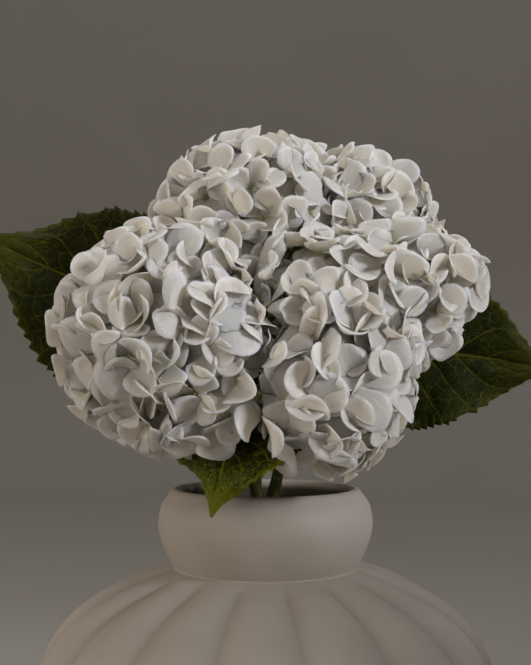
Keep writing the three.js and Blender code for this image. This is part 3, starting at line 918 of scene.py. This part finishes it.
# %% Heads
HEADS = {
    "left": [(-62, -42, 300, 69), (-30, -66, 275, 52)],
    "right": [(40, -50, 307, 55), (96, -35, 327, 42), (34, -74, 262, 50)],
    "top": [(-9, 5, 373, 65)],
    "back": [(64, 45, 378, 62)],
}
GOLDEN_ANGLE = math.pi * (3 - math.sqrt(5))


def golden_direction(i, total, first=0):
    """The way to the point with this number, of so many that are spread over a ball."""
    height = 1 - 2 * (i + 0.5) / total
    flat = math.sqrt(1 - height**2)
    angle = GOLDEN_ANGLE * i + first
    return Vector((flat * math.cos(angle), flat * math.sin(angle), height))


for head_name, balls in HEADS.items():
    print(f"head {head_name}: balls {[2 * ball[3] for ball in balls]} mm across")

# %% [markdown]
# In a tight bunch the heads press against each other. They could be left to pass through one
# another, but that leaves a hard line. Here two heads share a face where their balls cross,
# and the face is made wavy, so that no straight gap shows between them. Florets near it lean
# away and their sepals are pulled back to it. Towards the outside, a soft stop keeps the
# sepals near their ball, and lets them reach further where another ball is near, which fills
# the valley between the two.

# %% Where heads meet
NEIGHBOUR = 1.3
SWAY = 15
SWAY_LENGTH = 19
SOFTNESS = 4.0
VALLEY_WIDTH = 26
VALLEY_FILL = 14


def contact_planes(name, ball):
    """The faces between this ball and the near balls of the other heads."""
    planes = []
    centre = Vector(ball[:3])
    for other, balls in HEADS.items():
        for *place, reach in balls if other != name else ():
            towards = Vector(place) - centre
            distance = towards.length
            limit = (distance**2 + ball[3] ** 2 - reach**2) / (2 * distance)
            if limit < NEIGHBOUR * ball[3]:
                planes.append((towards.normalized(), limit, 1 if name < other else -1))
    return planes


def past_neighbour(point, centre, normal, limit, side):
    """How far a point is past the wavy face that this ball shares with another head."""
    past = normal.dot(point - centre) - limit
    return past - side * SWAY * noise.noise((point - normal * past) / SWAY_LENGTH)


def valley_fill(point, ball):
    """How much further florets reach where another ball is near, so that no valley is left."""
    fill = 0
    for balls in HEADS.values():
        for other in balls:
            if other != ball:
                beyond = (point - Vector(other[:3])).length - other[3]
                fill = max(fill, smooth_step(VALLEY_WIDTH - beyond, 0, VALLEY_WIDTH))
    return VALLEY_FILL * fill


def soft_limit(over):
    """How far to pull back a point that is past the start of a soft stop."""
    return over - SOFTNESS * (1 - math.exp(-over / SOFTNESS)) if over > 0 else 0


def squeeze(point, freedom, ball, planes):
    """Pulls a point back softly to its ball, and from the faces where it meets other heads."""
    centre = Vector(ball[:3])
    out = point - centre
    reach = ball[3] + freedom + valley_fill(point, ball)
    point = point - out.normalized() * soft_limit(out.length - reach + SOFTNESS)
    for plane in planes:
        point = point - plane[0] * soft_limit(past_neighbour(point, centre, *plane) + SOFTNESS)
    return point


for head_name, balls in HEADS.items():
    faces = sum(len(contact_planes(head_name, ball)) for ball in balls)
    print(f"head {head_name}: meets its neighbours at {faces} faces")

# %% [markdown]
# Each floret needs a throat, the point where its sepals meet, and a way that it looks. The
# throats lie under the ball's surface, sunk and tilted by chance. A floret is left out where
# it would hang under the head, lie inside another ball of the same head, be squeezed too flat
# by a neighbour, or touch a leaf. Points on each leaf are listed once for that last test.

# %% Floret places
FLORET_AREA = 378
COVERED_SHARE = 0.88
FLORET_SPREAD = 14
FLORET_RISE = 10
SINK = (-1.5, 6.5)
THROAT_FILL = 0.7
TILT = 0.9
TURN_AWAY = 0.6
LOWEST_FLORET = -0.72
CONTACT_INSET = 2
LEAST_SQUEEZED = 0.6
BURIED = 0.80
LEAF_CLEARANCE = 9
FLORET_MIDDLE = 6
LEAF_TEST_ROWS = 12
LEAF_TEST_COLUMNS = 4


def leaf_points():
    points = []
    for leaf in LEAVES.values():
        for row in range(1, LEAF_TEST_ROWS):
            share = row / LEAF_TEST_ROWS
            there, _, sideways, normal = leaf_frame(leaf, share)
            for column in range(-LEAF_TEST_COLUMNS, LEAF_TEST_COLUMNS + 1):
                half = leaf["halves"][0 if column < 0 else 1]
                reach = column / LEAF_TEST_COLUMNS * half * soft_width(share)
                points.append(there + sideways * reach + normal * abs(reach) * LEAF_FOLD)
    return points


LEAF_POINTS = leaf_points()
print("points that florets keep away from:", len(LEAF_POINTS))


def freed_throat(centre, out, full, planes):
    """How far out a throat may lie, and how the neighbours turn its floret away."""
    free = full
    away = Vector()
    for plane in planes:
        towards = plane[0].dot(out)
        past = past_neighbour(centre + out * full, centre, *plane) + CONTACT_INSET
        if towards > 0 and past > 0:
            free = min(free, full - past / towards)
            away -= plane[0] * towards
    return free, away


def has_room(name, ball, point, facing):
    """Whether a floret stands clear of the head's underside, its other balls and the leaves."""
    first = Vector(HEADS[name][0][:3])
    upright = (first - STEM_LINES[name][-1] / MM).normalized()
    low = (point - first).normalized().dot(upright) < LOWEST_FLORET
    buried = any(
        (point - Vector(other[:3])).length < BURIED * (other[3] - FLORET_RISE)
        for other in HEADS[name] if other != ball
    )
    middle = point + facing * FLORET_MIDDLE
    in_leaf = min((middle - spot).length for spot in LEAF_POINTS) < LEAF_CLEARANCE
    return not (low or buried or in_leaf)


def floret_places(name, index, planes, chance):
    """Where the throats of one ball's florets lie and the way that each floret looks."""
    ball = HEADS[name][index]
    centre, reach = Vector(ball[:3]), ball[3]
    root = Vector(HEADS[name][0][:3]) if index else STEM_LINES[name][-1] / MM
    to_crown = UP.rotation_difference((centre - root).normalized())
    throat = math.sqrt(reach**2 - FLORET_SPREAD**2) - FLORET_RISE
    total = round(4 * math.pi * (reach * COVERED_SHARE) ** 2 / FLORET_AREA)
    places = []
    for i in range(total):
        out = to_crown @ golden_direction(i, total, first=index)
        full = throat - chance.uniform(*SINK)
        full += THROAT_FILL * valley_fill(centre + out * reach, ball)
        free, away = freed_throat(centre, out, full, planes)
        tilt = Vector([chance.uniform(-0.5, 0.5) for _ in range(3)]) * TILT
        point = centre + out * free
        facing = (out + away * TURN_AWAY + tilt).normalized()
        if free >= LEAST_SQUEEZED * full and has_room(name, ball, point, facing):
            places.append((point, facing))
    return places


# %% [markdown]
# A floret is four sepals turned a quarter from each other, the second pair a little higher
# than the first, as they grow. All four share one tone, and a paler floret is let a little
# further out of the ball, so that the head's outline is as uneven as a real one. A sepal that
# would reach far past a neighbour's face is left out.

# %% Florets
FREEDOM = 7.5
FARTHEST_PAST = 7
FLORET_SIZE = (0.88, 1.18)
FLORET_OPENING = (0.1, 0.6)
PAIR_OPENING = (-0.06, 0.16)
PAIR_STEP = 0.25
SEPAL_SWING = 0.14
THROAT_WIDTH = 0.4


def add_sepal(bm, details, place, sepal, tone, pull_back):
    grid = bmesh.ops.create_grid(bm, x_segments=SEPAL_ACROSS, y_segments=SEPAL_ALONG, size=1)
    for vert in grid["verts"]:
        point, (across, share) = sepal_point(vert.co.x, vert.co.y, sepal)
        vert.co = pull_back(place @ point, tone * FREEDOM) * MM
        vert[details] = (across, share, tone)


def add_floret(bm, details, point, facing, ball, planes, chance):
    def pull_back(there, freedom):
        return squeeze(there, freedom, ball, planes)

    def past(there):
        centre = Vector(ball[:3])
        return max((past_neighbour(there, centre, *plane) for plane in planes), default=-ball[3])

    spin = Quaternion(UP, chance.uniform(0, 2 * math.pi))
    size = chance.uniform(*FLORET_SIZE)
    base = Matrix.LocRotScale(point, UP.rotation_difference(facing) @ spin, Vector((size,) * 3))
    open_angle = chance.uniform(*FLORET_OPENING)
    tone = chance.random()
    for petal in range(4):
        pair = petal % 2
        sepal = draw_sepal(chance, open_angle + PAIR_OPENING[pair])
        turn = petal * math.pi / 2 + chance.uniform(-SEPAL_SWING, SEPAL_SWING)
        step = Matrix.Translation((0, 0, PAIR_STEP * pair))
        out = Matrix.Translation((0, THROAT_WIDTH, 0))
        place = base @ Matrix.Rotation(turn, 4, "Z") @ step @ out
        if past(place @ sepal_point(0, 1, sepal)[0]) < FARTHEST_PAST:
            add_sepal(bm, details, place, sepal, tone, pull_back)


print("a floret may reach past its ball by up to, mm:", FREEDOM)

# %% [markdown]
# A sepal is matt and creamy white, and so thin that light passes through it, so that folds glow.
# Its edge is painted whiter than its middle: a painted highlight along the rim, and painted shade
# in the cupped middle. Fine veins fan out from the claw, which keeps a touch of green. The finish
# reads the distance along and across each sepal. Light under the surface comes from the shader's
# own subsurface part, with a short reach that suits a blade a third of a millimetre thick.

# %% Sepal finish
# The cream is the sepals' own colour and also the painted shade of their cupped middles; the
# white is their own colour and also the painted highlight on their rims.
SEPAL_CREAM_AND_SHADE = (0.70, 0.625, 0.50)
SEPAL_WHITE_AND_HIGHLIGHT = (0.99, 0.965, 0.925)
SEPAL_GREEN = (0.50, 0.56, 0.24)
SEPAL_FRECKLE = (0.50, 0.42, 0.26)
LIGHT_REACH = 0.0022
LIGHT_COLOURS = (1.0, 0.9, 0.75)


def sepal_finish():
    sepal = Finish("sepal")
    blade = sepal.node("Attribute", out="Vector", attribute_name="sepal")
    across, share, tone = sepal.split(blade)
    where = sepal.place()
    from_middle = share * 2 - 1
    # Painted highlight and painted shade: 1 at the rim, which is painted whiter, and 0 in the
    # middle, which is painted darker.
    rim = sepal.ramp(across * across + from_middle * from_middle, 0.35, 0.95)
    cloud = sepal.noise(where, 60, 3)
    throat = 1 - sepal.ramp(share + (cloud - 0.5) * 0.1, 0.02, 0.28)
    spread = across / (share * 1.5 + 0.5)
    fan = sepal.node("CombineXYZ", {"X": spread * 6, "Y": share * 1.6, "Z": tone * 40})
    veins = sepal.ramp(sepal.noise(fan, 2.2, 3, 0.6), 0.40, 0.68)
    freckle = sepal.ramp(sepal.noise(where, 210, 2), 0.74, 0.80) * 0.5
    # Whiter with the painted rim highlight, and at random with the cloud and the floret's tone.
    whiteness_and_highlight = rim * 0.7 + cloud * 0.6 + (tone - 0.5) * 0.3
    colour = sepal.mix(whiteness_and_highlight, SEPAL_CREAM_AND_SHADE, SEPAL_WHITE_AND_HIGHLIGHT)
    colour = sepal.mix(throat * 0.65, colour, SEPAL_GREEN)
    colour = sepal.mix(veins * 0.18, colour, SEPAL_CREAM_AND_SHADE)
    colour = sepal.mix(freckle, colour, SEPAL_FRECKLE)
    crease = sepal.noise(fan, 1.0, 2)
    bumps = sepal.bump(veins * 0.3 + crease, 0.0007, 0.4)
    return sepal.surface(
        Base_Color=colour, Roughness=0.42 + cloud * 0.16, Normal=bumps,
        Subsurface_Weight=0.85, Subsurface_Radius=LIGHT_COLOURS, Subsurface_Scale=LIGHT_REACH,
        Sheen_Weight=0.15, Sheen_Roughness=0.4, Specular_IOR_Level=0.5,
    )


SEPAL_FINISH = sepal_finish()

# %% [markdown]
# Inside the head the stem divides again and again until each floret has a thread of its own.
# They are seen only in the gaps, as yellow-green lines in the shade, but they are what carries
# the florets, so every floret gets one. A few short branches grow from the stem's end, smaller
# ones from those, and each thread springs from the nearest of them. The bud in each throat is a
# small flattened ball on the same piece.

# %% Stalks and buds
BRANCHES = 12
BRANCH_REACH = 0.5
BRANCH_BEND = 3
HUB_SHARE = 0.45
TRUNK_RADII = (2.4,) * 5
TRUNK_SIDES = 6
TWIG_RADII = (1.7, 1.5, 1.3, 1.2, 1.2)
THREAD_RADII = (0.9, 0.7, 0.6, 0.6, 0.7)
THREAD_SIDES = 5
THREAD_NECK = 7
BUD_RADIUS = 1.5
BUD_FLATNESS = 0.8
BUD_RISE = 0.9


def add_stalk(bm, points, radii, sides):
    """A tube through three points, with two steps from each to the next."""
    line = smooth_line([point * MM for point in points], 2)
    add_tube(bm, line, [radius * MM for radius in radii], sides)


def add_branches(bm, origin, centre, reach):
    """The thick branches of one ball. Returns the points that the threads spring from."""
    hub = centre + (origin - centre) * HUB_SHARE
    add_stalk(bm, [origin, (origin + hub) / 2, hub], TRUNK_RADII, TRUNK_SIDES)
    twigs = []
    for i in range(BRANCHES):
        out = golden_direction(i, BRANCHES)
        twig = centre + out * reach * BRANCH_REACH
        bend = hub + (twig - hub) / 2 + out * BRANCH_BEND
        add_stalk(bm, [hub, bend, twig], TWIG_RADII, THREAD_SIDES)
        twigs.append(twig)
    return twigs


def add_bud(bm, point, facing):
    flat = Vector((BUD_RADIUS, BUD_RADIUS, BUD_FLATNESS * BUD_RADIUS)) * MM
    middle = (point + facing * BUD_RISE) * MM
    place = Matrix.LocRotScale(middle, UP.rotation_difference(facing), flat)
    bmesh.ops.create_icosphere(bm, subdivisions=1, radius=1, matrix=place)


def make_head(name, seed, sepal_material, stalk_material):
    chance = random.Random(seed)
    petals = bmesh.new()
    details = petals.verts.layers.float_vector.new("sepal")
    stalks = bmesh.new()
    count = 0
    for index, ball in enumerate(HEADS[name]):
        planes = contact_planes(name, ball)
        places = floret_places(name, index, planes, chance)
        twigs = add_branches(stalks, STEM_LINES[name][-1] / MM, Vector(ball[:3]), ball[3])
        for point, facing in places:
            add_floret(petals, details, point, facing, ball, planes, chance)
            nearest = min(twigs, key=lambda twig: (twig - point).length)
            neck = point - facing * THREAD_NECK
            add_stalk(stalks, [nearest, neck, point], THREAD_RADII, THREAD_SIDES)
            add_bud(stalks, point, facing)
        count += len(places)
    head = finish_piece(
        petals, "florets_" + name, [sepal_material], ["head_" + name], merge=False,
    )
    add_modifier(head, "SOLIDIFY", thickness=SEPAL_THICKNESS * MM, offset=0)
    finish_piece(stalks, "threads_" + name, [stalk_material])
    print(f"head {name}: {count} florets")


print("branches in each ball of a head:", BRANCHES)

# %% [markdown]
# The threads and buds are a fresh yellow-green, lighter in patches. They hardly show, so their
# finish is one noise between two colours, with a little bump. With it the four heads are made,
# each from a seed of its own, so that a change to one leaves the others as they are.

# %% Stalk finish
THREAD_GREEN = (0.24, 0.30, 0.07)
THREAD_LIGHT = (0.46, 0.50, 0.20)
FIRST_SEED = 11


def thread_finish():
    thread = Finish("thread")
    patches = thread.ramp(thread.noise(thread.place(), 90, 3), 0.35, 0.65)
    colour = thread.mix(patches, THREAD_GREEN, THREAD_LIGHT)
    bumps = thread.bump(patches, 0.0002, 0.4)
    return thread.surface(Base_Color=colour, Roughness=0.5 + patches * 0.15, Normal=bumps)


THREAD_FINISH = thread_finish()
for seed, head_name in enumerate(HEADS, FIRST_SEED):
    make_head(head_name, seed, SEPAL_FINISH, THREAD_FINISH)

# %% [markdown]
# The bunch stands on a plain pale floor that curves up into a plain wall all round, so that
# no edge shows behind it from any side. It could be a plane and a backdrop, but that looks
# right from one side only. The floor is a short outline spun into a wide bowl, with its faces
# turned in, towards the flowers.

# %% Floor and wall
STAGE_RADIUS = 2.6
STAGE_CURVE = 0.8
STAGE_CURVE_STEPS = 12
STAGE_HEIGHT = 3.0
STAGE_STEPS = 96
STAGE_COLOUR = (0.38, 0.352, 0.325)
STAGE_LIGHT = (0.60, 0.57, 0.54)


def stage_outline():
    points = [Vector((0, 0, 0)), Vector((STAGE_RADIUS - STAGE_CURVE, 0, 0))]
    for step in range(1, STAGE_CURVE_STEPS + 1):
        turn = math.pi / 2 * step / STAGE_CURVE_STEPS
        out = STAGE_RADIUS - STAGE_CURVE * (1 - math.sin(turn))
        points.append(Vector((out, 0, STAGE_CURVE * (1 - math.cos(turn)))))
    return [*points, Vector((STAGE_RADIUS, 0, STAGE_HEIGHT))]


def plaster_finish():
    plaster = Finish("floor")
    cloud = plaster.noise(plaster.place(), 3, 3)
    colour = plaster.mix(cloud * 0.2, STAGE_COLOUR, STAGE_LIGHT)
    return plaster.surface(Base_Color=colour, Roughness=0.85)


def make_stage():
    bm = bmesh.new()
    spin_outline(bm, stage_outline(), STAGE_STEPS)
    merge_points(bm)
    bmesh.ops.reverse_faces(bm, faces=bm.faces)
    floor = add_object(bm, "floor")
    floor.data.materials.append(plaster_finish())


make_stage()

# %% [markdown]
# The light is soft, as in a room with windows: a broad warm one at the front left, a small
# cooler one at the front right that picks out the upper heads, and a faint one above, which
# makes the sepals' edges shine. A dim world fills the shadows. Lamps of this kind have a size,
# which is what makes a shadow's edge soft. The camera stands 0.6 m in front of the vase, a
# little above its lip, and looks slightly up.

# %% Light and camera
CAMERA_PLACE = (0, -0.610, 0.262)
CAMERA_RISE = 3.84
CAMERA_LENS = 50
WORLD_COLOUR = (1, 0.97, 0.94, 1)
WORLD_STRENGTH = 0.54
LIGHTS = {
    "window_left": {
        "place": (-1.4, -0.6, 0.4), "aim": (0, 0, 0.2), "size": 1.1, "watts": 7.9, "spread": 180,
        "colour": (1, 0.90, 0.78),
    },
    "window_right": {
        "place": (0.84, -0.56, 0.66), "aim": (0.05, -0.06, 0.37), "size": 0.4, "watts": 0.33,
        "spread": 18, "colour": (0.96, 0.96, 1),
    },
    "ceiling": {
        "place": (0.1, 0.25, 1.6), "aim": (0.05, 0, 0.4), "size": 1.0, "watts": 0.6, "spread": 60,
        "colour": (0.95, 0.97, 1),
    },
}


def make_light(name, light):
    lamp = bpy.data.lights.new(name, "AREA")
    lamp.energy = light["watts"]
    lamp.size = light["size"]
    lamp.color = light["colour"]
    lamp.spread = math.radians(light["spread"])
    holder = bpy.data.objects.new(name, lamp)
    holder.location = light["place"]
    aim = Vector(light["aim"]) - holder.location
    holder.rotation_euler = aim.to_track_quat("-Z", "Y").to_euler()
    holder.visible_camera = False
    bpy.context.scene.collection.objects.link(holder)
    print(f"{name}: {light['watts']} W from {aim.length:.2f} m away")


def make_world():
    world = bpy.data.worlds.new("room")
    world.use_nodes = True
    background = world.node_tree.nodes["Background"]
    background.inputs["Color"].default_value = WORLD_COLOUR
    background.inputs["Strength"].default_value = WORLD_STRENGTH
    bpy.context.scene.world = world
    bpy.context.scene.view_settings.view_transform = "Standard"


def make_camera():
    lens = bpy.data.cameras.new("camera")
    lens.lens = CAMERA_LENS
    camera = bpy.data.objects.new("camera", lens)
    camera.location = CAMERA_PLACE
    camera.rotation_euler = (math.radians(90 + CAMERA_RISE), 0, 0)
    bpy.context.scene.collection.objects.link(camera)
    bpy.context.scene.camera = camera


for light_name, light in LIGHTS.items():
    make_light(light_name, light)
make_world()
make_camera()

# %% [markdown]
# The dressed pieces should fill the same room as the solids that they stand for.
